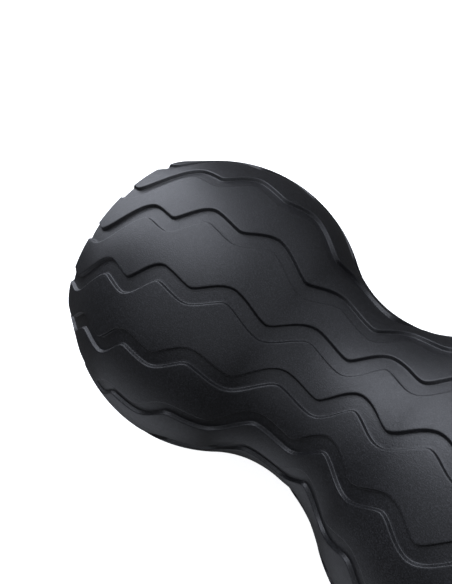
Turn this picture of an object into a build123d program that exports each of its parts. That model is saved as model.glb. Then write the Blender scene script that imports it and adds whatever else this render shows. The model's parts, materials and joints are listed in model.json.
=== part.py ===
from build123d import *
import os
from math import acos, atan2, cos, hypot, radians, sin, sqrt

# Two-lobed vibrating massage roller.  Millimetres.
# X runs along the roller, from the plain end to the control end; Z is up.
# The origin is on the axis, at the middle of the neck.

# Outside shape
lobe_r = 45.5            # radius of each round lobe, over the treads
lobe_x = 47.5            # lobe centres are at plus and minus this
neck_r = 29.2            # radius at the middle of the neck
end_x = 88.5             # flat end faces
rim_x = 79.5             # the treads end at a rim, a little outside the lobe's circle
rim_r = 34.2
ledge_r = 32.2           # inner edge of the flat ledge behind the rim
mouth_x = 87.7           # from the ledge the sleeve rises to its opening here
sleeve_t = 3.2           # silicone sleeve
shell_t = 2.4            # hard shells under the sleeve
fit = 0.15               # gap between the shells and what they hold
clear_x = 100.0          # past the roller's ends, for cutting
clear_r = 50.0           # past its surface, for cutting

# Round openings in the ends
land_x = 84.0            # flat land of the shells that a gasket lies on
opening_r = 20.4         # opening in the sleeve
cover_r = 20.2           # end cap and control bezel
gasket_t = 1.0
bore_r = 18.2            # bore of the shells' end collars
collar_r = 21.0
collar_x = 78.0          # inner end of the collars
skirt_r = 18.0           # skirt of each cover, inside the collar
skirt_in_r = 16.6

# Shell screws
shell_screw_x = (33.0, 62.0)
shell_screw_y = 31.0
shell_boss_r = 4.2
shell_screw_r = 1.3
shell_head_r = 2.6
shell_head_t = 2.0
screw_seat_z = -9.0

# Motor and its unbalanced weights
motor_r = 16.0
motor_x0 = -62.0
motor_x1 = -25.0
motor_wall = 1.5
end_plate_x = -22.5
shaft_r = 2.0
shaft_x0 = -75.8
shaft_x1 = -8.2
bearing_r = 5.0
running_gap = 0.05       # radial clearance of the shaft in its bearings
core_r = 10.9
core_x0 = -55.0
core_x1 = -36.0
slot_count = 5
slot_w = 3.2
slot_depth_r = 5.2       # radius at the bottom of a slot
commutator_r = 4.5
commutator_x0 = -32.5
commutator_x1 = -27.6
brush_x = (-31.8, -28.4)
brush_y = (4.8, 9.8)
brush_z = 1.8            # half of a brush's height
motor_screw_z = 11.5
weight_r = 17.0
weight_hub_r = 6.0
weight_angle = 150.0
front_weight_x = (-20.0, -9.0)
rear_weight_x = (-75.0, -65.0)
terminal_y = 4.0
terminal_x = -23.8

# Motor cradle
cradle_r = 18.5
cradle_x0 = -59.0
cradle_x1 = -27.0
cradle_webs = ((-57.0, -54.5), (-43.0, -40.5))
ear_t = 3.0
ear_y = 25.5
cradle_screw_x = (-49.0, -34.0)
cradle_screw_y = 22.0
cradle_screw_r = 1.2
cradle_head_r = 2.3
cradle_head_t = 1.8
cradle_post_r = 3.0
cradle_post_z = -8.0     # lower end of the post around each screw

# Battery pack
cell_r = 9.2
cell_len = 65.0
cell_offset = 10.8       # from the roller's axis to each cell's axis
cell_angles = (30.0, 150.0, 270.0)
pocket_r = 9.35
strip_t = 0.3
strip_w = 6.0
front_holder_x = (5.5, 10.5)
rear_holder_x = (69.0, 74.5)
front_floor_x = 7.0      # bottom of the front pockets
rear_floor_x = front_floor_x + 2 * strip_t + cell_len
wire_gap_y = 11.5        # half width of the way left for the wires, at the top
wire_gap_z = 19.1

# Main board, over the cells
board_t = 1.6
board_z = 17.5           # underside
board_x = (12.5, 66.9)
board_y = 14.0
lug_z = 14.8
lug_len = 6.5
board_screw_x = (15.2, 64.4)
board_screw_y = 12.1
board_screw_r = 0.9
wire_z = 21.0            # wires run at this height

# Control end
control_board_r = 16.4
control_board_x = 79.0
control_board_t = 1.2
post_ring_r = 14.2
post_angles = (90.0, 200.0, 340.0)
button_r = 8.0
button_gap = 0.3
button_top_x = 88.2
button_flange_r = 9.1
button_flange_x = (85.3, 86.5)
button_roof_x = 86.6     # the bezel's lip holds the button's flange in
plunger_r = 1.6
plunger_x = (81.4, 84.4)
switch_w = 6.2
switch_top_x = 83.5      # clears the pressed button by 0.1
light_ring_r = (10.2, 11.4)
light_leg_r = 0.7
light_count = 6
light_groove_x = 87.0
socket_w = 8.94          # charging socket's metal shell
socket_h = 3.26
socket_wall = 0.3
socket_z = -13.9
socket_x1 = 87.6

# Small screws and wires
small_head_r = 1.7
small_head_t = 1.2
lead_r = 0.8
signal_r = 0.5

neck_centre = neck_r + (lobe_x**2 + neck_r**2 - lobe_r**2) / (2 * (lobe_r - neck_r))
span = hypot(lobe_x, neck_centre)
board_top_z = board_z + board_t
cover_x = land_x + gasket_t
control_front_x = control_board_x + control_board_t
shell_inset = sleeve_t + shell_t


def bar(x0, x1, radius, y=0.0, z=0.0):
    """Round bar along X."""
    return Pos((x0 + x1) / 2, y, z) * Rot(0, 90, 0) * Cylinder(radius, abs(x1 - x0))


def tube(x0, x1, outer, inner):
    """Round tube along X, on the axis."""
    return bar(x0, x1, outer) - bar(x0, x1, inner)


def post(x, y, z0, z1, radius):
    """Round post along Z."""
    return Pos(x, y, (z0 + z1) / 2) * Cylinder(radius, abs(z1 - z0))


def block(x0, x1, y0, y1, z0, z1):
    """Box between two corners."""
    return Pos((x0 + x1) / 2, (y0 + y1) / 2, (z0 + z1) / 2) * Box(x1 - x0, y1 - y0, z1 - z0)


def around(radius, angle):
    """Y and Z of a point on a circle about the axis."""
    return radius * cos(radians(angle)), radius * sin(radians(angle))


def sector(x0, x1, outer, inner, middle, width):
    """Part of a tube: width degrees of it, centred on an angle from +Y towards +Z."""
    reach = 3 * outer
    half = radians(width / 2)
    corners = [(0, 0), (reach * cos(half), -reach * sin(half)), (reach * cos(half), reach * sin(half))]
    wedge = Plane.YZ.offset(x0) * make_face(Polyline(*corners, close=True))
    wedge = extrude(wedge, amount=x1 - x0)
    return tube(x0, x1, outer, inner) & (Rot(middle, 0, 0) * wedge)


def slotted(x0, x1, width, height, z):
    """Bar along X with a round-ended section, wider in Y."""
    face = Plane.YZ.offset(x0) * Pos(0, z) * SlotOverall(width, height)
    return extrude(face, amount=x1 - x0)


def join(lobe):
    """X and radius of the place where the neck's arc meets a lobe of this radius."""
    return lobe_x * (1 - lobe / span), neck_centre * lobe / span


def peanut(inset):
    """The roller's outline without its rims, this far inside its outer surface, as a solid."""
    lobe = lobe_r - inset
    join_x, join_r = join(lobe)
    tip = lobe_x + lobe
    outline = [
        ThreePointArc((-tip, 0), (-lobe_x, lobe), (-join_x, join_r)),
        ThreePointArc((-join_x, join_r), (0, neck_r - inset), (join_x, join_r)),
        ThreePointArc((join_x, join_r), (lobe_x, lobe), (tip, 0)),
        Line((tip, 0), (-tip, 0)),
    ]
    return revolve(make_face(outline), Axis.X, 360)


def sleeve_outside():
    """Outer surface of the sleeve, over the treads and out to the rims, as a solid."""
    join_x, join_r = join(lobe_r)
    reach = hypot(rim_x - lobe_x, rim_r)
    flank = atan2(rim_r, rim_x - lobe_x) + acos(lobe_r / reach)
    touch_x = lobe_x + lobe_r * cos(flank)
    touch_r = lobe_r * sin(flank)
    end = [(touch_x, touch_r), (rim_x, rim_r), (rim_x, ledge_r), (mouth_x, opening_r), (mouth_x, 0)]
    other_end = [(-x, r) for x, r in end]
    outline = [
        ThreePointArc((-touch_x, touch_r), (-lobe_x, lobe_r), (-join_x, join_r)),
        ThreePointArc((-join_x, join_r), (0, neck_r), (join_x, join_r)),
        ThreePointArc((join_x, join_r), (lobe_x, lobe_r), (touch_x, touch_r)),
        Polyline(*end, *reversed(other_end)),
    ]
    return revolve(make_face(outline), Axis.X, 360)


def radius_at(x, inset):
    """Radius of the outline at a place along the roller."""
    lobe = lobe_r - inset
    join_x, _ = join(lobe)
    if abs(x) > join_x:
        return sqrt(lobe**2 - (abs(x) - lobe_x) ** 2)
    return neck_centre - sqrt((neck_centre - neck_r + inset) ** 2 - x**2)


def between_lands(shape):
    """Only what lies between the two end lands."""
    return shape & Box(2 * land_x, 3 * lobe_r, 3 * lobe_r)


def upper_half(shape):
    return shape & block(-clear_x, clear_x, -clear_r, clear_r, 0, clear_r)


def lower_half(shape):
    return shape & block(-clear_x, clear_x, -clear_r, clear_r, -clear_r, 0)


# ---- Sleeve and shells ----

def silicone_sleeve():
    """Sleeve stretched over both shells, turned in at each end over the land."""
    sleeve = sleeve_outside() - between_lands(peanut(sleeve_t))
    for side in (-1, 1):
        sleeve -= bar(side * land_x, side * (end_x + 10), opening_r)
    rims = sleeve.edges().filter_by(GeomType.CIRCLE).sort_by(Axis.X)
    return fillet([rims[0], rims[-1]], 0.5)


def bulkheads():
    """Where the cradle's webs and the battery holders stand, along X."""
    return cradle_webs + (front_holder_x, rear_holder_x)


def locating_ribs():
    """A rib on the shell at each face of each bulkhead."""
    thick = 1.6
    ribs = []
    for x0, x1 in bulkheads():
        for low in (x0 - fit - thick, x1 + fit):
            high = low + thick
            inner = min(radius_at(low, shell_inset), radius_at(high, shell_inset)) - 2.5
            ring = bar(low, high, lobe_r) & peanut(shell_inset - 0.2)
            ribs.append(ring - bar(low, high, inner))
    wire_way = block(0, 80, -wire_gap_y, wire_gap_y, 15, 40)
    return Part() + ribs - (wire_way & peanut(shell_inset))


def screw_places():
    """X and Y of every shell screw."""
    places = []
    for x in shell_screw_x:
        for side_x in (-1, 1):
            for side_y in (-1, 1):
                places.append((side_x * x, side_y * shell_screw_y))
    return places


def whole_shell():
    """Both shells as one, before the cut at the middle."""
    shell = peanut(sleeve_t) - peanut(shell_inset)
    shell += locating_ribs()
    for side in (-1, 1):
        shell += bar(side * collar_x, side * land_x, collar_r)
    bosses = [post(x, y, -lobe_r, lobe_r, shell_boss_r) for x, y in screw_places()]
    shell += (Part() + bosses) & peanut(sleeve_t)
    for side in (-1, 1):
        shell -= bar(side * (collar_x - 6), side * (end_x + 6), bore_r)
    return between_lands(shell)


def seam_lip(outer_inset, height):
    """Band inside the seam that lines the two shells up."""
    band = peanut(outer_inset) - peanut(shell_inset)
    band = band & block(-land_x + 10, land_x - 10, -lobe_r, lobe_r, 0, height)
    return band - bar(-collar_x - 6, -collar_x + 10, 25) - bar(collar_x - 10, collar_x + 6, 25)


def lower_shell():
    shell = lower_half(whole_shell()) + seam_lip(sleeve_t + 1.3, 1.0)
    for x, y in screw_places():
        shell -= post(x, y, -lobe_r, 2, shell_screw_r + 0.15)
        shell -= post(x, y, -lobe_r, screw_seat_z, shell_head_r + 0.4)
    return shell


def upper_shell():
    shell = upper_half(whole_shell()) - seam_lip(sleeve_t + 1.2, 1.15)
    for x, y in screw_places():
        shell -= post(x, y, -1, 9, shell_screw_r + 0.05)
    return shell


def shell_screws():
    """Screws put in from below, before the sleeve goes on."""
    screws = []
    for x, y in screw_places():
        head_z = screw_seat_z - shell_head_t
        screw = post(x, y, head_z, screw_seat_z, shell_head_r)
        screw += post(x, y, screw_seat_z, 8, shell_screw_r)
        screws.append(screw - post(x, y, head_z, head_z + 1, 1.1))
    return Compound(children=screws)


# ---- End covers ----

def gasket(side):
    """Flat ring between a shell's land and the cover's flange."""
    return tube(side * land_x, side * cover_x, cover_r, bore_r + 0.2)


def cover_body(side, skirt_x):
    """Flange, skirt and four snap hooks that catch under the shells' collar."""
    flange = bar(side * cover_x, side * end_x, cover_r)
    rims = flange.edges().filter_by(GeomType.CIRCLE).sort_by(Axis.X)
    flange = fillet(rims[-1] if side > 0 else rims[0], 0.8)
    body = flange + tube(side * skirt_x, side * cover_x, skirt_r, skirt_in_r)
    tip_x = collar_x - 1.6
    for angle in (45, 135, 225, 315):
        arm = sector(min(side * tip_x, side * cover_x), max(side * tip_x, side * cover_x),
                     skirt_r, skirt_in_r, angle, 24)
        barb_x = (side * tip_x, side * (collar_x - 0.1))
        barb = sector(min(barb_x), max(barb_x), skirt_r + 1.4, skirt_in_r, angle, 24)
        body += [arm, barb]
    return body


def end_cap():
    """Plain cover at the -X end, with a flat face to stand the roller on."""
    cap = cover_body(-1, cover_x - 5)
    cap -= tube(-end_x, -end_x + 0.5, 15.6, 15.0)
    web = block(-cover_x - 0.1, -cover_x + 3, -skirt_in_r, skirt_in_r, -0.8, 0.8)
    web += block(-cover_x - 0.1, -cover_x + 3, -0.8, 0.8, -skirt_in_r, skirt_in_r)
    return cap + web


def control_bezel():
    """Cover at the +X end, around the button, the light ring and the charging socket."""
    bezel = cover_body(1, collar_x)
    for angle in post_angles:
        y, z = around(post_ring_r, angle)
        bezel += bar(control_front_x, cover_x, 2.0, y, z)
        bezel -= bar(control_front_x, control_front_x + 4, 0.95, y, z)
    bezel -= bar(cover_x, end_x, button_r + button_gap)
    bezel -= bar(cover_x, button_roof_x, button_flange_r + 0.4)
    bezel -= tube(light_groove_x, end_x, light_ring_r[1] + 0.1, light_ring_r[0] - 0.1)
    for y, z in light_places():
        bezel -= bar(cover_x, end_x, light_leg_r + 0.1, y, z)
    return bezel - slotted(cover_x, end_x, socket_w + 0.5, socket_h + 0.5, socket_z)


def button_cap():
    """Round push button with a shallow dish for the finger."""
    cap = bar(button_flange_x[0], button_top_x, button_r)
    cap = fillet(cap.edges().filter_by(GeomType.CIRCLE).sort_by(Axis.X)[-1], 0.5)
    dish_r = 45.0
    cap -= Pos(button_top_x - 0.55 + dish_r, 0, 0) * Sphere(dish_r)
    cap += bar(button_flange_x[0], button_flange_x[1], button_flange_r)
    return cap + bar(plunger_x[1], button_flange_x[0], 2.2)


def switch_plunger():
    return bar(plunger_x[0], plunger_x[1], plunger_r)


def tact_switch():
    half = switch_w / 2
    body = block(control_front_x, switch_top_x, -half, half, -half, half)
    return body - bar(control_front_x + 0.2, switch_top_x, plunger_r + 0.3)


def light_places():
    """Y and Z of each leg of the light ring, with a lamp under it."""
    middle = sum(light_ring_r) / 2
    return [around(middle, 30 + i * 360 / light_count) for i in range(light_count)]


def light_ring():
    ring = tube(light_groove_x, button_top_x, light_ring_r[1], light_ring_r[0])
    for y, z in light_places():
        ring += bar(control_front_x + 1.0, light_groove_x, light_leg_r, y, z)
    return ring


def led_chips():
    chips = []
    for y, z in light_places():
        chips.append(block(control_front_x, control_front_x + 0.7, y - 0.8, y + 0.8, z - 0.8, z + 0.8))
    return Compound(children=chips)


def control_board():
    board = bar(control_board_x, control_front_x, control_board_r)
    for angle in post_angles:
        y, z = around(post_ring_r, angle)
        board -= bar(control_board_x, control_front_x, 1.0, y, z)
    return board


def control_board_screws():
    screws = []
    for angle in post_angles:
        y, z = around(post_ring_r, angle)
        head = bar(control_board_x - small_head_t, control_board_x, small_head_r, y, z)
        screws.append(head + bar(control_board_x, control_front_x + 3.6, 0.9, y, z))
    return Compound(children=screws)


def charge_socket():
    """Metal shell of a standard round-ended charging socket."""
    shell = slotted(control_front_x, socket_x1, socket_w, socket_h, socket_z)
    inside = 2 * socket_wall
    return shell - slotted(control_front_x + 1.2, socket_x1, socket_w - inside, socket_h - inside, socket_z)


def socket_tongue():
    """Contact tongue in the middle of the charging socket."""
    x0 = control_front_x + 1.2
    return block(x0, socket_x1 - 0.9, -3.35, 3.35, socket_z - 0.35, socket_z + 0.35)


def control_connector():
    """Connector on the back of the control board."""
    return block(control_board_x - 1.8, control_board_x, -3.5, 3.5, 8.5, 11.5)


# ---- Motor ----

def motor_can():
    can = bar(motor_x0, motor_x1, motor_r)
    can = fillet(can.edges().filter_by(GeomType.CIRCLE).sort_by(Axis.X)[0], 1.0)
    can -= bar(motor_x0 + motor_wall, motor_x1, motor_r - motor_wall)
    return can - bar(motor_x0, motor_x0 + motor_wall, bearing_r)


def motor_end_plate():
    plate = tube(motor_x1, end_plate_x, motor_r, bearing_r)
    for side in (-1, 1):
        plate -= motor_terminal(side)
        plate -= bar(motor_x1, end_plate_x, 1.0, 0, side * motor_screw_z)
    return plate


def motor_terminal(side):
    y = side * terminal_y
    return block(terminal_x - 0.4, terminal_x + 0.4, y - 0.8, y + 0.8, 13.0, 18.2)


def motor_terminals():
    return Compound(children=[motor_terminal(-1), motor_terminal(1)])


def rear_bearing():
    return tube(motor_x0 - 1.5, motor_x0 + 2.5, bearing_r, shaft_r + running_gap)


def front_bearing():
    return tube(motor_x1 - 1.0, end_plate_x + 1.0, bearing_r, shaft_r + running_gap)


def motor_magnets():
    inner = core_r + 0.5
    outer = motor_r - motor_wall
    return Compound(children=[sector(core_x0 - 2, core_x1 + 2, outer, inner, a, 124) for a in (90, 270)])


def brush_pocket(side):
    """Space for a brush and its spring, 0.1 wider than the brush."""
    half = brush_z + 0.1
    low, high = sorted((side * 4.9, side * 11.5))
    return block(brush_x[0] - 0.1, brush_x[1] + 0.1, low, high, -half, half)


def brush_holder():
    """Card inside the end plate, with a guide for each brush."""
    card = tube(motor_x1 - 2.2, motor_x1, motor_r - motor_wall - 0.1, bearing_r + 0.2)
    for side in (-1, 1):
        card -= bar(motor_x1 - 2.2, motor_x1, 1.0, 0, side * motor_screw_z)
        low, high = sorted((side * 5.6, side * 12.5))
        card += block(motor_x1 - 7.6, motor_x1 - 2.2, low, high, -2.6, 2.6)
        card -= brush_pocket(side)
    return card


def motor_brushes():
    brushes = []
    for side in (-1, 1):
        low, high = sorted((side * brush_y[0], side * brush_y[1]))
        brushes.append(block(brush_x[0], brush_x[1], low, high, -brush_z, brush_z))
    return Compound(children=brushes)


def motor_screws():
    """Two screws through the end plate into the brush card."""
    screws = []
    for side in (-1, 1):
        z = side * motor_screw_z
        head = bar(end_plate_x, end_plate_x + 1.2, 1.9, 0, z)
        screws.append(head + bar(motor_x1 - 2.0, end_plate_x, 0.95, 0, z))
    return Compound(children=screws)


def motor_shaft():
    shaft = bar(shaft_x0, shaft_x1, shaft_r)
    return chamfer(shaft.edges().filter_by(GeomType.CIRCLE), 0.3)


def armature_slots(gap):
    """The space of the winding slots, smaller all round by the gap."""
    half = slot_w / 2 - gap
    slots = []
    for i in range(slot_count):
        slot = block(core_x0, core_x1, slot_depth_r + gap, core_r + 1, -half, half)
        slots.append(Rot(i * 360 / slot_count, 0, 0) * slot)
    return Part() + slots


def armature_core():
    return tube(core_x0, core_x1, core_r, shaft_r) - armature_slots(0)


def armature_windings():
    """Turns around both ends of the core, joined by the wire in its slots."""
    rear = tube(core_x0 - 3.5, core_x0, 9.4, shaft_r + 1.2)
    front = tube(core_x1, core_x1 + 2.6, 9.4, shaft_r + 1.2)
    return rear + front + (armature_slots(0.1) & bar(core_x0, core_x1, core_r - 1.0))


def commutator():
    return tube(commutator_x0, commutator_x1, commutator_r, shaft_r)


def eccentric_weight(place):
    """Half-round weight on a hub; it hangs below the shaft."""
    x0, x1 = place
    weight = tube(x0, x1, weight_hub_r, shaft_r)
    weight += sector(x0, x1, weight_r, weight_hub_r - 0.5, 270, weight_angle)
    return weight - post((x0 + x1) / 2, 0, 1, weight_hub_r + 1, 1.5)


def grub_screws():
    screws = []
    for x0, x1 in (front_weight_x, rear_weight_x):
        x = (x0 + x1) / 2
        screws.append(post(x, 0, shaft_r, weight_hub_r - 0.4, 1.5) - post(x, 0, 4.4, weight_hub_r, 0.7))
    return Compound(children=screws)


def motor_cradle():
    """Clamp around the motor with two webs out to the shells, before it is cut in half."""
    hold_r = motor_r + 0.05
    cradle = bar(cradle_x0, cradle_x1, cradle_r)
    for x0, x1 in cradle_webs:
        cradle += bar(x0, x1, lobe_r) & peanut(shell_inset + fit)
    ears = block(cradle_webs[0][1], cradle_x1 - 2, -ear_y, ear_y, -ear_t, ear_t)
    cradle += ears
    for x in cradle_screw_x:
        for side in (-1, 1):
            cradle += post(x, side * cradle_screw_y, cradle_post_z, 0, cradle_post_r)
    return cradle - bar(cradle_x0, cradle_x1, hold_r)


def cradle_screw_places():
    return [(x, side * cradle_screw_y) for x in cradle_screw_x for side in (-1, 1)]


def motor_cradle_lower():
    cradle = lower_half(motor_cradle())
    for x, y in cradle_screw_places():
        cradle -= post(x, y, cradle_post_z + 1, 0, cradle_screw_r + 0.05)
    return cradle


def motor_cradle_upper():
    cradle = upper_half(motor_cradle())
    for x, y in cradle_screw_places():
        cradle -= post(x, y, 0, ear_t, cradle_screw_r + 0.15)
    return cradle


def cradle_screws():
    screws = []
    for x, y in cradle_screw_places():
        top = ear_t + cradle_head_t
        screw = post(x, y, ear_t, top, cradle_head_r)
        screw += post(x, y, cradle_post_z + 1.5, ear_t, cradle_screw_r)
        screws.append(screw - post(x, y, top - 0.8, top, 1.0))
    return Compound(children=screws)


# ---- Battery pack and main board ----

def battery_cell(angle):
    y, z = around(cell_offset, angle)
    cell = bar(front_floor_x + strip_t, rear_floor_x - strip_t, cell_r, y, z)
    return chamfer(cell.edges().filter_by(GeomType.CIRCLE), 0.6)


def link_strip(x0, angle_a, angle_b):
    """Flat strip welded across the ends of two cells."""
    ya, za = around(cell_offset, angle_a)
    yb, zb = around(cell_offset, angle_b)
    length = hypot(yb - ya, zb - za) + strip_w
    strip = Box(strip_t, length, strip_w)
    turn = (angle_a + angle_b) / 2 - 90
    return Pos(x0 + strip_t / 2, (ya + yb) / 2, (za + zb) / 2) * Rot(turn, 0, 0) * strip


def tab_strip(x0, angle):
    """Strip from the end of one cell up to the height of the wires."""
    y, z = around(cell_offset, angle)
    return block(x0, x0 + strip_t, y - 2.5, y + 2.5, z - 3, wire_z)


def nickel_strips():
    front = front_floor_x
    rear = rear_floor_x - strip_t
    right, left, low = cell_angles
    strips = [
        tab_strip(front, right),
        link_strip(front, left, low),
        link_strip(rear, low, right + 360),
        tab_strip(rear, left),
    ]
    return Compound(children=strips)


def strip_channels():
    """Space that the strips need in the holders."""
    right, left, low = cell_angles
    front = front_floor_x
    rear = rear_floor_x - strip_t
    space = Part() + [tab_strip(front, right), tab_strip(rear, left)]
    return space + [link_strip(front, left, low), link_strip(rear, low, right + 360)]


def battery_holder(place, pocket_x, lug_x):
    """Bulkhead with a pocket for the end of each cell and a lug for the board."""
    holder = bar(place[0], place[1], lobe_r) & peanut(shell_inset + fit)
    holder += block(lug_x[0], lug_x[1], -board_y, board_y, lug_z, board_z)
    for angle in cell_angles:
        y, z = around(cell_offset, angle)
        holder -= bar(pocket_x[0], pocket_x[1], pocket_r, y, z)
    holder -= strip_channels()
    holder -= block(place[0] - 1, place[1] + 1, -wire_gap_y, wire_gap_y, wire_gap_z, lobe_r)
    for x in board_screw_x:
        for side in (-1, 1):
            holder -= post(x, side * board_screw_y, lug_z, board_z, board_screw_r + 0.05)
    return holder


def battery_holder_front():
    lug_x = (front_holder_x[1] - 0.5, front_holder_x[1] + lug_len)
    return battery_holder(front_holder_x, (front_floor_x, front_holder_x[1]), lug_x)


def battery_holder_rear():
    lug_x = (rear_holder_x[0] - lug_len, rear_holder_x[0] + 0.5)
    return battery_holder(rear_holder_x, (rear_holder_x[0], rear_floor_x), lug_x)


def main_board():
    board = block(board_x[0], board_x[1], -board_y, board_y, board_z, board_top_z)
    for x, y in board_screw_places():
        board -= post(x, y, board_z, board_top_z, board_screw_r + 0.2)
    return board


def board_screw_places():
    return [(x, side * board_screw_y) for x in board_screw_x for side in (-1, 1)]


def main_board_screws():
    screws = []
    for x, y in board_screw_places():
        head = post(x, y, board_top_z, board_top_z + small_head_t, small_head_r)
        screws.append(head + post(x, y, lug_z + 0.2, board_top_z, board_screw_r))
    return Compound(children=screws)


def board_connectors():
    """Motor, battery and control connectors on the main board."""
    top = board_top_z
    high = wire_z + 1.6
    motor = block(21, 27, -6.5, 6.5, top, high)
    plus = block(18, 21, 7.2, 11.2, top, high)
    minus = block(60, 63, -11.2, -7.2, top, high)
    control = block(54, 59, -3.5, 3.5, top, high)
    return Compound(children=[motor, plus, minus, control])


def board_chips():
    """Motor driver, charging chip, coil and capacitors on the main board."""
    top = board_top_z
    driver = block(30, 36, -3, 3, top, top + 1.1)
    charger = block(40, 44, -10, -6, top, top + 0.9)
    controller = block(43, 49, 2, 8, top, top + 1.0)
    coil = block(31, 37, -11.5, -5.5, top, top + 3.0)
    capacitors = [post(x, 9.5, top, top + 5.0, 2.5) for x in (31, 37)]
    return Compound(children=[driver, charger, controller, coil] + capacitors)


def wire(points, radius, bend):
    """Round wire along straight runs with rounded corners."""
    path = FilletPolyline(*points, radius=bend)
    section = Plane(path @ 0, z_dir=path % 0) * Circle(radius)
    return sweep(section, path)


def motor_leads():
    """Two wires from the motor's terminals through the neck to the main board."""
    leads = []
    for y in (-terminal_y, terminal_y):
        leads.append(wire([(terminal_x, y, 18.2), (terminal_x, y, wire_z), (21, y, wire_z)], lead_r, 1.8))
    return Compound(children=leads)


def battery_leads():
    """Short wires from the two end strips to the main board."""
    y, _ = around(cell_offset, cell_angles[0])
    plus = bar(front_floor_x + strip_t, 18, lead_r, y, wire_z - lead_r)
    minus = bar(63, rear_floor_x - strip_t, lead_r, -y, wire_z - lead_r)
    return Compound(children=[plus, minus])


def control_leads():
    """Four thin wires from the main board to the control board."""
    drop_x = rear_holder_x[1] + 1.1
    leads = []
    for i in range(4):
        y = -1.8 + 1.2 * i
        points = [(59, y, wire_z), (drop_x, y, wire_z), (drop_x, y, 10), (control_board_x - 1.8, y, 10)]
        leads.append(wire(points, signal_r, 1.3))
    return Compound(children=leads)


parts = {
    "silicone_sleeve": silicone_sleeve(),
    "upper_shell": upper_shell(),
    "lower_shell": lower_shell(),
    "shell_screws": shell_screws(),
    "end_cap": end_cap(),
    "end_cap_gasket": gasket(-1),
    "control_bezel": control_bezel(),
    "control_gasket": gasket(1),
    "button_cap": button_cap(),
    "switch_plunger": switch_plunger(),
    "tact_switch": tact_switch(),
    "light_ring": light_ring(),
    "led_chips": led_chips(),
    "control_board": control_board(),
    "control_board_screws": control_board_screws(),
    "control_connector": control_connector(),
    "charge_socket": charge_socket(),
    "socket_tongue": socket_tongue(),
    "motor_can": motor_can(),
    "motor_end_plate": motor_end_plate(),
    "motor_terminals": motor_terminals(),
    "motor_screws": motor_screws(),
    "front_bearing": front_bearing(),
    "rear_bearing": rear_bearing(),
    "motor_magnets": motor_magnets(),
    "brush_holder": brush_holder(),
    "motor_brushes": motor_brushes(),
    "motor_shaft": motor_shaft(),
    "armature_core": armature_core(),
    "armature_windings": armature_windings(),
    "commutator": commutator(),
    "front_weight": eccentric_weight(front_weight_x),
    "rear_weight": eccentric_weight(rear_weight_x),
    "grub_screws": grub_screws(),
    "motor_cradle_lower": motor_cradle_lower(),
    "motor_cradle_upper": motor_cradle_upper(),
    "cradle_screws": cradle_screws(),
    "battery_holder_front": battery_holder_front(),
    "battery_holder_rear": battery_holder_rear(),
    "nickel_strips": nickel_strips(),
    "main_board": main_board(),
    "main_board_screws": main_board_screws(),
    "board_connectors": board_connectors(),
    "board_chips": board_chips(),
    "motor_leads": motor_leads(),
    "battery_leads": battery_leads(),
    "control_leads": control_leads(),
}
for number, cell_angle in enumerate(cell_angles, start=1):
    parts[f"battery_cell_{number}"] = battery_cell(cell_angle)

os.makedirs("parts", exist_ok=True)
for name, shape in parts.items():
    export_step(shape, f"parts/{name}.step")
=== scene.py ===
import json
from math import acos, atan2, cos, hypot, pi, radians, sin, tan

import bpy
import numpy as np
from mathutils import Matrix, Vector

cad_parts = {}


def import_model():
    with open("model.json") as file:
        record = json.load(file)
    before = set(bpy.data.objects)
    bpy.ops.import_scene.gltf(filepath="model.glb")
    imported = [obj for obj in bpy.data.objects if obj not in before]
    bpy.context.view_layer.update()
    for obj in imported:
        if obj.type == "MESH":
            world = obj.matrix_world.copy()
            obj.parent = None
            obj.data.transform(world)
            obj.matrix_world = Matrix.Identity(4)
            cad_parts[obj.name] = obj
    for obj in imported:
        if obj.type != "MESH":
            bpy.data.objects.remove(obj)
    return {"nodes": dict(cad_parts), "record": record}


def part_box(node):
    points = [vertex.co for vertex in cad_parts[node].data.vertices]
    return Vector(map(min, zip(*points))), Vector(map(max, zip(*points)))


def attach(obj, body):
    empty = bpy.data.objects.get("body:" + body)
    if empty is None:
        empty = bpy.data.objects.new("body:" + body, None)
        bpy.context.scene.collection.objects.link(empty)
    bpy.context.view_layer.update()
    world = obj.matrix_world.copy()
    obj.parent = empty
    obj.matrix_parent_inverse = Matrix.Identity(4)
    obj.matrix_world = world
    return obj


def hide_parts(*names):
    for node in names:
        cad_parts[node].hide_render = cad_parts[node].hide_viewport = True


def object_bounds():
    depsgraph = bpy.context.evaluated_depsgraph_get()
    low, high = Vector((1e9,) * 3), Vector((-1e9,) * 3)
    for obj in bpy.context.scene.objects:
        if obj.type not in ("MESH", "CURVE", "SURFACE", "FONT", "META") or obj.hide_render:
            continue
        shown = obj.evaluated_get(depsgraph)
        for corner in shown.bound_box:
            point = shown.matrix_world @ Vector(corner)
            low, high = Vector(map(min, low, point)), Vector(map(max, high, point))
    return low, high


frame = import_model()
cad_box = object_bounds()

MM = 0.001
SLEEVE_LOW, SLEEVE_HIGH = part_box("silicone_sleeve")

# Outline of the roller, in millimetres: two round lobes joined by a hollow arc at the neck
LOBE_R = SLEEVE_HIGH[2] / MM
LOBE_X = 47.5
NECK_R = 29.2
NECK_CENTRE = NECK_R + (LOBE_X**2 + NECK_R**2 - LOBE_R**2) / (2 * (LOBE_R - NECK_R))
NECK_BEND = NECK_CENTRE - NECK_R
JOIN_ANGLE = atan2(LOBE_X, NECK_CENTRE)
NECK_ARC = NECK_BEND * JOIN_ANGLE

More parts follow.
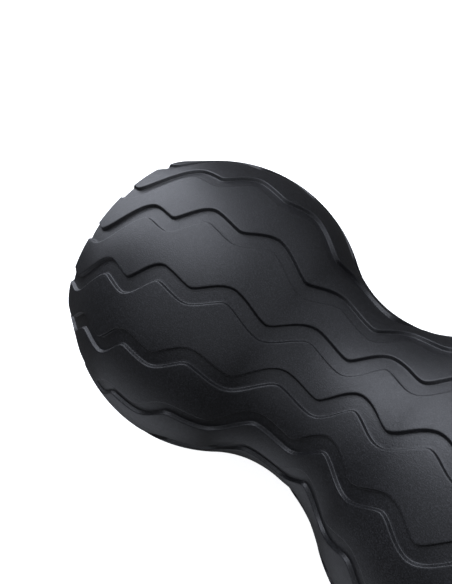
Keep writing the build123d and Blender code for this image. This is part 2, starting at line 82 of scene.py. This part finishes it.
# The treads end at a rim. A straight flank leads from the lobe's circle out to it, and behind it lie a
# flat ledge and a cone that rises to the round opening
RIM_X = 79.5
RIM_R = 34.2
LEDGE_R = 32.2
MOUTH_X = 87.7
OPENING_R = 20.4
FLANK_ANGLE = atan2(RIM_R, RIM_X - LOBE_X) + acos(LOBE_R / hypot(RIM_X - LOBE_X, RIM_R))
FLANK_X = LOBE_X + LOBE_R * cos(FLANK_ANGLE)
FLANK_START = NECK_ARC + LOBE_R * (JOIN_ANGLE + pi / 2 - FLANK_ANGLE)
RIM_STATION = FLANK_START + (RIM_X - FLANK_X) / sin(FLANK_ANGLE)
RIM_ROUND = 0.6
MOUTH_ROUND = 0.5

# The sleeve's wall, and the land that its turned-in ends lie on
SLEEVE_T = 3.2
LAND_X = 84.0

# Treads: the ridges between wavy grooves that run the length of the roller and twist round it
TREADS = 14
GROOVE_W = 4.17
GROOVE_DEPTH = 1.1
WALL_SLOPE = radians(75)
CORNER_ROUND = 0.3
TURN_ROUND = 1.3         # least radius of a groove's edge where the wave turns
FLARE = 0.9              # each edge of a groove turns out this much at the rim
FLARE_RUN = 2.6
# Where the groove's wave turns: distance along the outline from the middle of the neck, and degrees
# from +Y towards +Z. Not a design rule: a fitting script made these values, up to 8.5, and the others were
# set from another script's readings.
TURNS = [
    (-100, 121.8), (-82.5, 121.8), (-67.5, 101), (-60, 102.1), (-51.9, 90.9), (-43.6, 91.9),
    (-33.5, 83.2), (-22.1, 86.2), (-10, 71.7), (-0.2, 74.5), (8.5, 58.9), (18.5, 65),
    (30.5, 54.9), (40, 59.5), (50.5, 47), (59, 49.5), (70, 38), (82, 41.5), (100, 41.5),
]

# Camera, in metres and degrees. Azimuth is from the -Y side, here and for the lamps
LENS = 39.4
VIEW_AZIMUTH = 41.58
VIEW_ELEVATION = 57.75
VIEW_DISTANCE = 0.2075
AIM = (-0.0491, 0.0054, 0)

# Stage: an arc of strong soft lamps up one side, a ring of weak ones all round, one from below
KEY_AZIMUTH = 255
KEY_ELEVATIONS = (5, 30, 55, 80)
KEY_WATTS = 3.5
FILL_START = 30
FILL_ELEVATION = 40
FILL_COUNT = 6
FILL_WATTS = 1.2
LOW_AZIMUTH = 345
LOW_ELEVATION = -45
LOW_WATTS = 1.0
LAMP_SIZE = 0.8
LAMP_DISTANCE = 1.0
LAMP_COLOR = (0.93, 0.975, 1.1)
AMBIENT = 0.05
BACKDROP = 0.95
FLOOR_GLOW = 0.85
FLOOR_HALF = 3.0

# Fineness of the sleeve's mesh
STATIONS = np.arange(-99, 99.1, 0.15)    # where the grooves' lines are worked out
ROW_STEP = 0.8                           # between rows, along the outline
BAND_COLUMNS = 6                         # across the top of a tread
ROUND_STEPS = 4                          # round each corner of a groove
RIM_STEPS = 5
CONE_STEPS = 9
INNER_ROWS = 24
LEDGE_GAP = 0.08                         # the ledge's last row stands this far off the cone


# ---- The sleeve's mesh ----

def outline(station):
    """X, radius and outward normal at distances along the outline from the middle of the neck."""
    side = np.sign(station)
    along = np.abs(station)
    on_neck = along < NECK_ARC
    turn = along / NECK_BEND
    neck = NECK_BEND * np.sin(turn), NECK_CENTRE - NECK_BEND * np.cos(turn)
    lean = JOIN_ANGLE - (np.minimum(along, FLANK_START) - NECK_ARC) / LOBE_R
    past = np.maximum(along - FLANK_START, 0)
    lobe_x = LOBE_X - LOBE_R * np.sin(lean) + past * np.cos(lean)
    lobe_radius = LOBE_R * np.cos(lean) + past * np.sin(lean)
    tilt = np.where(on_neck, turn, lean)
    x = side * np.where(on_neck, neck[0], lobe_x)
    radius = np.where(on_neck, neck[1], lobe_radius)
    return x, radius, -side * np.sin(tilt), np.cos(tilt)


def groove_middle():
    """Angle of the first groove's middle line, easing from each turn of the wave to the next."""
    places, angles = np.array(TURNS).T
    i = np.clip(np.searchsorted(places, STATIONS) - 1, 0, len(places) - 2)
    t = (STATIONS - places[i]) / (places[i + 1] - places[i])
    return np.radians(angles[i] + (angles[i + 1] - angles[i]) * t * t * (3 - 2 * t))


def beside(line, distance):
    """The line that runs this far from another one, measured square to it; more than 0 is up in angle."""
    reach = abs(distance) * np.linspace(-1, 1, 61)
    middle = np.interp(STATIONS[:, None] + reach, STATIONS, line)
    across = np.sqrt(distance**2 - reach**2) / outline(STATIONS)[1][:, None]
    if distance >= 0:
        return (middle + across).max(axis=1)
    return (middle - across).min(axis=1)


def groove_edge(side):
    """Angle of one edge of the first groove, with its inner corners rounded and its ends flared."""
    outer = beside(groove_middle(), side * (GROOVE_W / 2 + TURN_ROUND))
    flare = np.clip((np.abs(STATIONS) - RIM_STATION) / FLARE_RUN + 1, 0, 1) ** 2
    return beside(outer, -side * TURN_ROUND) + side * FLARE * flare / RIM_R


def groove_section():
    """Half of a groove's section: distances from its middle, and heights against the tread's top."""
    run = GROOVE_DEPTH / tan(WALL_SLOPE) / 2
    cut = CORNER_ROUND * tan(WALL_SLOPE / 2)
    foot = GROOVE_W / 2 - run - cut
    brow = GROOVE_W / 2 + run + cut
    section = [(0, -GROOVE_DEPTH), (0.65 * foot, -GROOVE_DEPTH)]
    for a in np.linspace(0, WALL_SLOPE, ROUND_STEPS):
        section.append((foot + CORNER_ROUND * sin(a), -GROOVE_DEPTH + CORNER_ROUND * (1 - cos(a))))
    for a in np.linspace(WALL_SLOPE, 0, ROUND_STEPS):
        section.append((brow - CORNER_ROUND * sin(a), -CORNER_ROUND * (1 - cos(a))))
    section.append((brow + CORNER_ROUND, 0))
    return section


def tread_columns(stations):
    """Angle and height of every column of one tread's worth of mesh, one row for each station."""
    half = groove_section()
    upper, lower = groove_edge(1), groove_edge(-1)
    lines = [beside(lower, GROOVE_W / 2 - d) for d, _ in reversed(half[1:])]
    lines += [(lower + upper) / 2]
    lines += [beside(upper, d - GROOVE_W / 2) for d, _ in half[1:]]
    angles = [np.interp(stations, STATIONS, line) for line in lines]
    heights = [h for _, h in reversed(half[1:])] + [h for _, h in half]
    next_groove = angles[0] + 2 * pi / TREADS
    for i in range(1, BAND_COLUMNS + 1):
        share = i / (BAND_COLUMNS + 1)
        angles.append(angles[len(lines) - 1] * (1 - share) + next_groove * share)
        heights.append(0)
    return np.array(angles).T, np.tile(heights, (len(stations), 1))


def rim_rows(side, heights):
    """X and radius of the rows round the rim, from the flank to the flat ledge, for each column."""
    setback = RIM_ROUND * tan(FLANK_ANGLE / 2)
    middle_x = side * (RIM_X - RIM_ROUND)
    middle_r = RIM_R + heights / sin(FLANK_ANGLE) - setback
    angles = np.linspace(FLANK_ANGLE, 0, RIM_STEPS)
    return [(middle_x + side * RIM_ROUND * cos(a), middle_r + RIM_ROUND * sin(a)) for a in angles]


def end_rows(side):
    """X and radius of the rows from the ledge up the cone, round the mouth and in to the land."""
    climb = np.linspace(0.02, 0.97, CONE_STEPS)
    ledge = [(RIM_X, LEDGE_R + 0.3), (RIM_X, LEDGE_R + LEDGE_GAP)]
    cone = [(RIM_X + c * (MOUTH_X - RIM_X), LEDGE_R + c * (OPENING_R - LEDGE_R)) for c in climb]
    mouth_x = MOUTH_X - 0.3 * MOUTH_ROUND
    mouth = [(mouth_x, OPENING_R + 0.3 * MOUTH_ROUND), (MOUTH_X - MOUTH_ROUND, OPENING_R)]
    inner_r = np.sqrt((LOBE_R - SLEEVE_T) ** 2 - (LAND_X - LOBE_X) ** 2)
    land = [(LAND_X + 1, OPENING_R), (LAND_X, OPENING_R), (LAND_X, inner_r)]
    return [(side * x, r) for x, r in ledge + cone + mouth + land]


def inner_wall(count):
    """X and radius of the rows of the sleeve's inner face, from the +X land to the -X land."""
    inside = LOBE_R - SLEEVE_T
    end = pi / 2 - np.arcsin((LAND_X - LOBE_X) / inside)
    lobe_turns = np.linspace(end, pi / 2 + JOIN_ANGLE, count)
    neck_turns = np.linspace(JOIN_ANGLE, -JOIN_ANGLE, count)[1:-1]
    lobe = [(LOBE_X + inside * cos(a), inside * sin(a)) for a in lobe_turns[1:]]
    bend = NECK_BEND + SLEEVE_T
    neck = [(bend * sin(a), NECK_CENTRE - bend * cos(a)) for a in neck_turns]
    return lobe + neck + [(-x, r) for x, r in lobe[::-1]]


def sleeve_mesh():
    """Closed mesh of the sleeve: rows along the roller and back inside it, columns round it."""
    setback = RIM_ROUND * tan(FLANK_ANGLE / 2)
    reach = RIM_STATION - setback - ROW_STEP / 2
    stations = np.linspace(-reach, reach, int(2 * reach / ROW_STEP))
    x, radius, nx, nr = outline(stations)
    angles, heights = tread_columns(stations)
    angles = np.hstack([angles + k * 2 * pi / TREADS for k in range(TREADS)])
    heights = np.tile(heights, TREADS)
    columns = angles.shape[1]
    rows = [(x[i] + nx[i] * heights[i], radius[i] + nr[i] * heights[i], angles[i]) for i in range(len(x))]
    rows = [(*row, angles[0]) for row in rim_rows(-1, heights[0])[::-1]] + rows
    rows += [(*row, angles[-1]) for row in rim_rows(1, heights[-1])]
    rows += [(*row, angles[-1]) for row in end_rows(1)]
    inner = inner_wall(INNER_ROWS)
    for i, row in enumerate(inner):
        share = i / len(inner)
        rows.append((*row, angles[-1] * (1 - share) + angles[0] * share))
    rows += [(*row, angles[0]) for row in end_rows(-1)[::-1]]

    points = []
    for x, radius, angle in rows:
        x, radius, angle = np.broadcast_arrays(x, radius, angle)
        points.append(np.stack([x, radius * np.cos(angle), radius * np.sin(angle)], axis=-1))
    points = np.array(points) * MM
    i, j = np.meshgrid(np.arange(len(rows)), np.arange(columns), indexing="ij")
    up, right = (i + 1) % len(rows), (j + 1) % columns
    faces = np.stack([i * columns + j, i * columns + right, up * columns + right, up * columns + j], -1)
    mesh = bpy.data.meshes.new("sleeve_with_treads")
    mesh.from_pydata(points.reshape(-1, 3).tolist(), [], faces.reshape(-1, 4).tolist())
    mesh.polygons.foreach_set("use_smooth", [True] * len(mesh.polygons))
    mesh.validate()
    return mesh


# ---- Materials ----

def new_material(name, color, roughness, metallic=0.0):
    """Material with a plain shader, ready for its own detail: material, nodes, links and shader."""
    material = bpy.data.materials.new(name)
    material.use_nodes = True
    nodes = material.node_tree.nodes
    shader = nodes["Principled BSDF"]
    shader.inputs["Base Color"].default_value = (*color, 1)
    shader.inputs["Roughness"].default_value = roughness
    shader.inputs["Metallic"].default_value = metallic
    return material, nodes, material.node_tree.links, shader


def noise(nodes, links, scale, detail=2.0, stretch=(1, 1, 1)):
    """Noise in the object's own space; scale is in cycles per metre."""
    place = nodes.new("ShaderNodeTexCoord")
    mapping = nodes.new("ShaderNodeMapping")
    mapping.inputs["Scale"].default_value = stretch
    texture = nodes.new("ShaderNodeTexNoise")
    texture.inputs["Scale"].default_value = scale
    texture.inputs["Detail"].default_value = detail
    links.new(place.outputs["Object"], mapping.inputs["Vector"])
    links.new(mapping.outputs["Vector"], texture.inputs["Vector"])
    return texture.outputs["Fac"]


def ramp(nodes, links, value, low, high, dark, light):
    """Turns a value into a colour: dark below low, light above high."""
    node = nodes.new("ShaderNodeValToRGB")
    node.color_ramp.elements[0].position = low
    node.color_ramp.elements[1].position = high
    node.color_ramp.elements[0].color = (*dark, 1)
    node.color_ramp.elements[1].color = (*light, 1)
    links.new(value, node.inputs["Fac"])
    return node.outputs["Color"]


def vary(nodes, links, value, low, high):
    """Maps a noise value to a range."""
    node = nodes.new("ShaderNodeMapRange")
    node.inputs["From Min"].default_value = 0.3
    node.inputs["From Max"].default_value = 0.7
    node.inputs["To Min"].default_value = low
    node.inputs["To Max"].default_value = high
    links.new(value, node.inputs["Value"])
    return node.outputs["Result"]


def bump(nodes, links, shader, value, height):
    """Surface relief of a height in metres."""
    node = nodes.new("ShaderNodeBump")
    node.inputs["Strength"].default_value = 1.0
    node.inputs["Distance"].default_value = height
    links.new(value, node.inputs["Height"])
    links.new(node.outputs["Normal"], shader.inputs["Normal"])


def silicone():
    """Charcoal silicone, satin, with a fine moulded grain and a faint speckle."""
    material, nodes, links, shader = new_material("silicone", (0.008, 0.008, 0.0085), 0.42)
    grain = noise(nodes, links, 3000, detail=3)
    color = ramp(nodes, links, grain, 0.45, 0.75, (0.005, 0.005, 0.0055), (0.024, 0.0243, 0.027))
    links.new(color, shader.inputs["Base Color"])
    links.new(vary(nodes, links, noise(nodes, links, 900), 0.39, 0.45), shader.inputs["Roughness"])
    bump(nodes, links, shader, grain, 0.00005)
    return material


def plastic(name, color, roughness, grain=3000, relief=0.00001):
    """Moulded plastic or rubber with a fine texture and a slight change of tone."""
    material, nodes, links, shader = new_material(name, color, roughness)
    texture = noise(nodes, links, grain, detail=4)
    dark = [0.85 * c for c in color]
    light = [min(1, 1.15 * c) for c in color]
    links.new(ramp(nodes, links, texture, 0.35, 0.65, dark, light), shader.inputs["Base Color"])
    links.new(vary(nodes, links, texture, roughness - 0.05, roughness + 0.05), shader.inputs["Roughness"])
    bump(nodes, links, shader, texture, relief)
    return material


def metal(name, color, roughness, stretch=(1, 1, 1), grain=1500):
    """Metal with fine marks, drawn out along one way by the stretch."""
    material, nodes, links, shader = new_material(name, color, roughness, 1.0)
    texture = noise(nodes, links, grain, detail=3, stretch=stretch)
    dark = [0.8 * c for c in color]
    links.new(ramp(nodes, links, texture, 0.3, 0.7, dark, color), shader.inputs["Base Color"])
    links.new(vary(nodes, links, texture, roughness - 0.07, roughness + 0.07), shader.inputs["Roughness"])
    bump(nodes, links, shader, texture, 0.000004)
    return material


def lamp_plastic():
    """Milky plastic of the light ring."""
    material = plastic("light_diffuser", (0.82, 0.83, 0.85), 0.35)
    shader = material.node_tree.nodes["Principled BSDF"]
    shader.inputs["Subsurface Weight"].default_value = 0.3
    shader.inputs["Subsurface Radius"].default_value = (0.001, 0.001, 0.001)
    return material


def slot_materials():
    """The material of every slot in the record."""
    along = (0.05, 1, 1)
    black = (0.02, 0.0205, 0.022)
    return {
        "silicone": silicone(),
        "gasket_rubber": plastic("gasket_rubber", (0.015, 0.015, 0.015), 0.7),
        "shell_plastic": plastic("shell_plastic", (0.04, 0.04, 0.044), 0.55),
        "cover_plastic": plastic("cover_plastic", black, 0.5, grain=4200, relief=0.00003),
        "button_rubber": plastic("button_rubber", (0.028, 0.0285, 0.031), 0.6, grain=5200),
        "switch_plastic": plastic("switch_plastic", (0.06, 0.06, 0.06), 0.5),
        "light_diffuser": lamp_plastic(),
        "led": plastic("led", (0.85, 0.8, 0.55), 0.3),
        "circuit_board": plastic("circuit_board", (0.012, 0.13, 0.055), 0.35, grain=700),
        "screw_steel": metal("screw_steel", (0.5, 0.5, 0.5), 0.35),
        "connector_plastic": plastic("connector_plastic", (0.72, 0.7, 0.62), 0.5),
        "chip_epoxy": plastic("chip_epoxy", (0.02, 0.02, 0.02), 0.55),
        "socket_steel": metal("socket_steel", (0.62, 0.62, 0.61), 0.3),
        "motor_steel": metal("motor_steel", (0.52, 0.52, 0.51), 0.35, stretch=along),
        "shaft_steel": metal("shaft_steel", (0.65, 0.65, 0.65), 0.18, stretch=along),
        "terminal_brass": metal("terminal_brass", (0.72, 0.56, 0.28), 0.35),
        "bearing_bronze": metal("bearing_bronze", (0.55, 0.36, 0.18), 0.45),
        "magnet": plastic("magnet", (0.06, 0.06, 0.065), 0.65, grain=1200),
        "carbon": plastic("carbon", (0.03, 0.03, 0.03), 0.6),
        "copper_wire": metal("copper_wire", (0.74, 0.34, 0.16), 0.35, stretch=(1, 0.1, 0.1)),
        "copper_segments": metal("copper_segments", (0.8, 0.42, 0.24), 0.3, stretch=along),
        "weight_steel": metal("weight_steel", (0.36, 0.36, 0.36), 0.55),
        "nickel": metal("nickel", (0.66, 0.64, 0.58), 0.3),
        "lead_insulation": plastic("lead_insulation", (0.4, 0.03, 0.02), 0.45),
        "cell_wrap": plastic("cell_wrap", (0.05, 0.2, 0.42), 0.35),
    }


def paint_cad(materials):
    """Gives each CAD node its slot's material."""
    for entry in frame["record"]["subparts"]:
        node = frame["nodes"][entry["node"]]
        material = materials[entry["material_slot"]]
        if node.material_slots:
            for slot in node.material_slots:
                slot.material = material
        else:
            node.data.materials.append(material)


# ---- Stage ----

def floor():
    """Plain pale floor under the roller, a light table: it glows, and only the camera sees it."""
    z = cad_box[0][2]
    corners = [(x * FLOOR_HALF, y * FLOOR_HALF, z) for x, y in ((-1, -1), (1, -1), (1, 1), (-1, 1))]
    mesh = bpy.data.meshes.new("floor")
    mesh.from_pydata(corners, [], [(0, 1, 2, 3)])
    material, nodes, links, shader = new_material("floor", (0.9, 0.9, 0.9), 0.9)
    shader.inputs["Specular IOR Level"].default_value = 0
    shader.inputs["Emission Color"].default_value = (1, 1, 1, 1)
    shader.inputs["Emission Strength"].default_value = FLOOR_GLOW
    mesh.materials.append(material)
    plane = bpy.data.objects.new("floor", mesh)
    bpy.context.scene.collection.objects.link(plane)
    plane.visible_diffuse = False
    plane.visible_glossy = False
    plane.visible_shadow = False


def direction(azimuth, elevation):
    """Unit vector from the roller towards a place round it; azimuth 0 is on the -Y side."""
    a, e = radians(azimuth), radians(elevation)
    return Vector((sin(a) * cos(e), -cos(a) * cos(e), sin(e)))


def soft_light(azimuth, elevation, watts):
    """Square lamp that faces the roller."""
    data = bpy.data.lights.new("soft_light", "AREA")
    data.size = LAMP_SIZE
    data.energy = watts
    data.color = LAMP_COLOR
    lamp = bpy.data.objects.new("soft_light", data)
    away = direction(azimuth, elevation)
    lamp.location = away * LAMP_DISTANCE
    lamp.rotation_euler = away.to_track_quat("Z", "Y").to_euler()
    bpy.context.scene.collection.objects.link(lamp)


def camera():
    """Camera close above the far lobe, looking down and across."""
    data = bpy.data.cameras.new("camera")
    data.lens = LENS
    data.clip_start = 0.01
    eye = bpy.data.objects.new("camera", data)
    back = direction(VIEW_AZIMUTH, VIEW_ELEVATION)
    eye.location = Vector(AIM) + back * VIEW_DISTANCE
    eye.rotation_euler = back.to_track_quat("Z", "Y").to_euler()
    bpy.context.scene.collection.objects.link(eye)
    bpy.context.scene.camera = eye


def world():
    """Pale backdrop for the camera, and a faint even light on the roller."""
    sky = bpy.data.worlds.new("world")
    sky.use_nodes = True
    nodes = sky.node_tree.nodes
    ray = nodes.new("ShaderNodeLightPath")
    strength = nodes.new("ShaderNodeMapRange")
    strength.inputs["To Min"].default_value = AMBIENT
    strength.inputs["To Max"].default_value = BACKDROP
    links = sky.node_tree.links
    links.new(ray.outputs["Is Camera Ray"], strength.inputs["Value"])
    links.new(strength.outputs["Result"], nodes["Background"].inputs["Strength"])
    nodes["Background"].inputs["Color"].default_value = (1, 1, 1, 1)
    bpy.context.scene.world = sky


camera()
floor()
world()
for elevation in KEY_ELEVATIONS:
    soft_light(KEY_AZIMUTH, elevation, KEY_WATTS)
for i in range(FILL_COUNT):
    soft_light(FILL_START + i * 360 / FILL_COUNT, FILL_ELEVATION, FILL_WATTS)
soft_light(LOW_AZIMUTH, LOW_ELEVATION, LOW_WATTS)
bpy.context.scene.view_settings.view_transform = "Standard"

materials = slot_materials()
paint_cad(materials)

sleeve = bpy.data.objects.new("sleeve_with_treads", sleeve_mesh())
bpy.context.scene.collection.objects.link(sleeve)
sleeve.data.materials.append(materials["silicone"])
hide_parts("silicone_sleeve")
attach(sleeve, "roller")
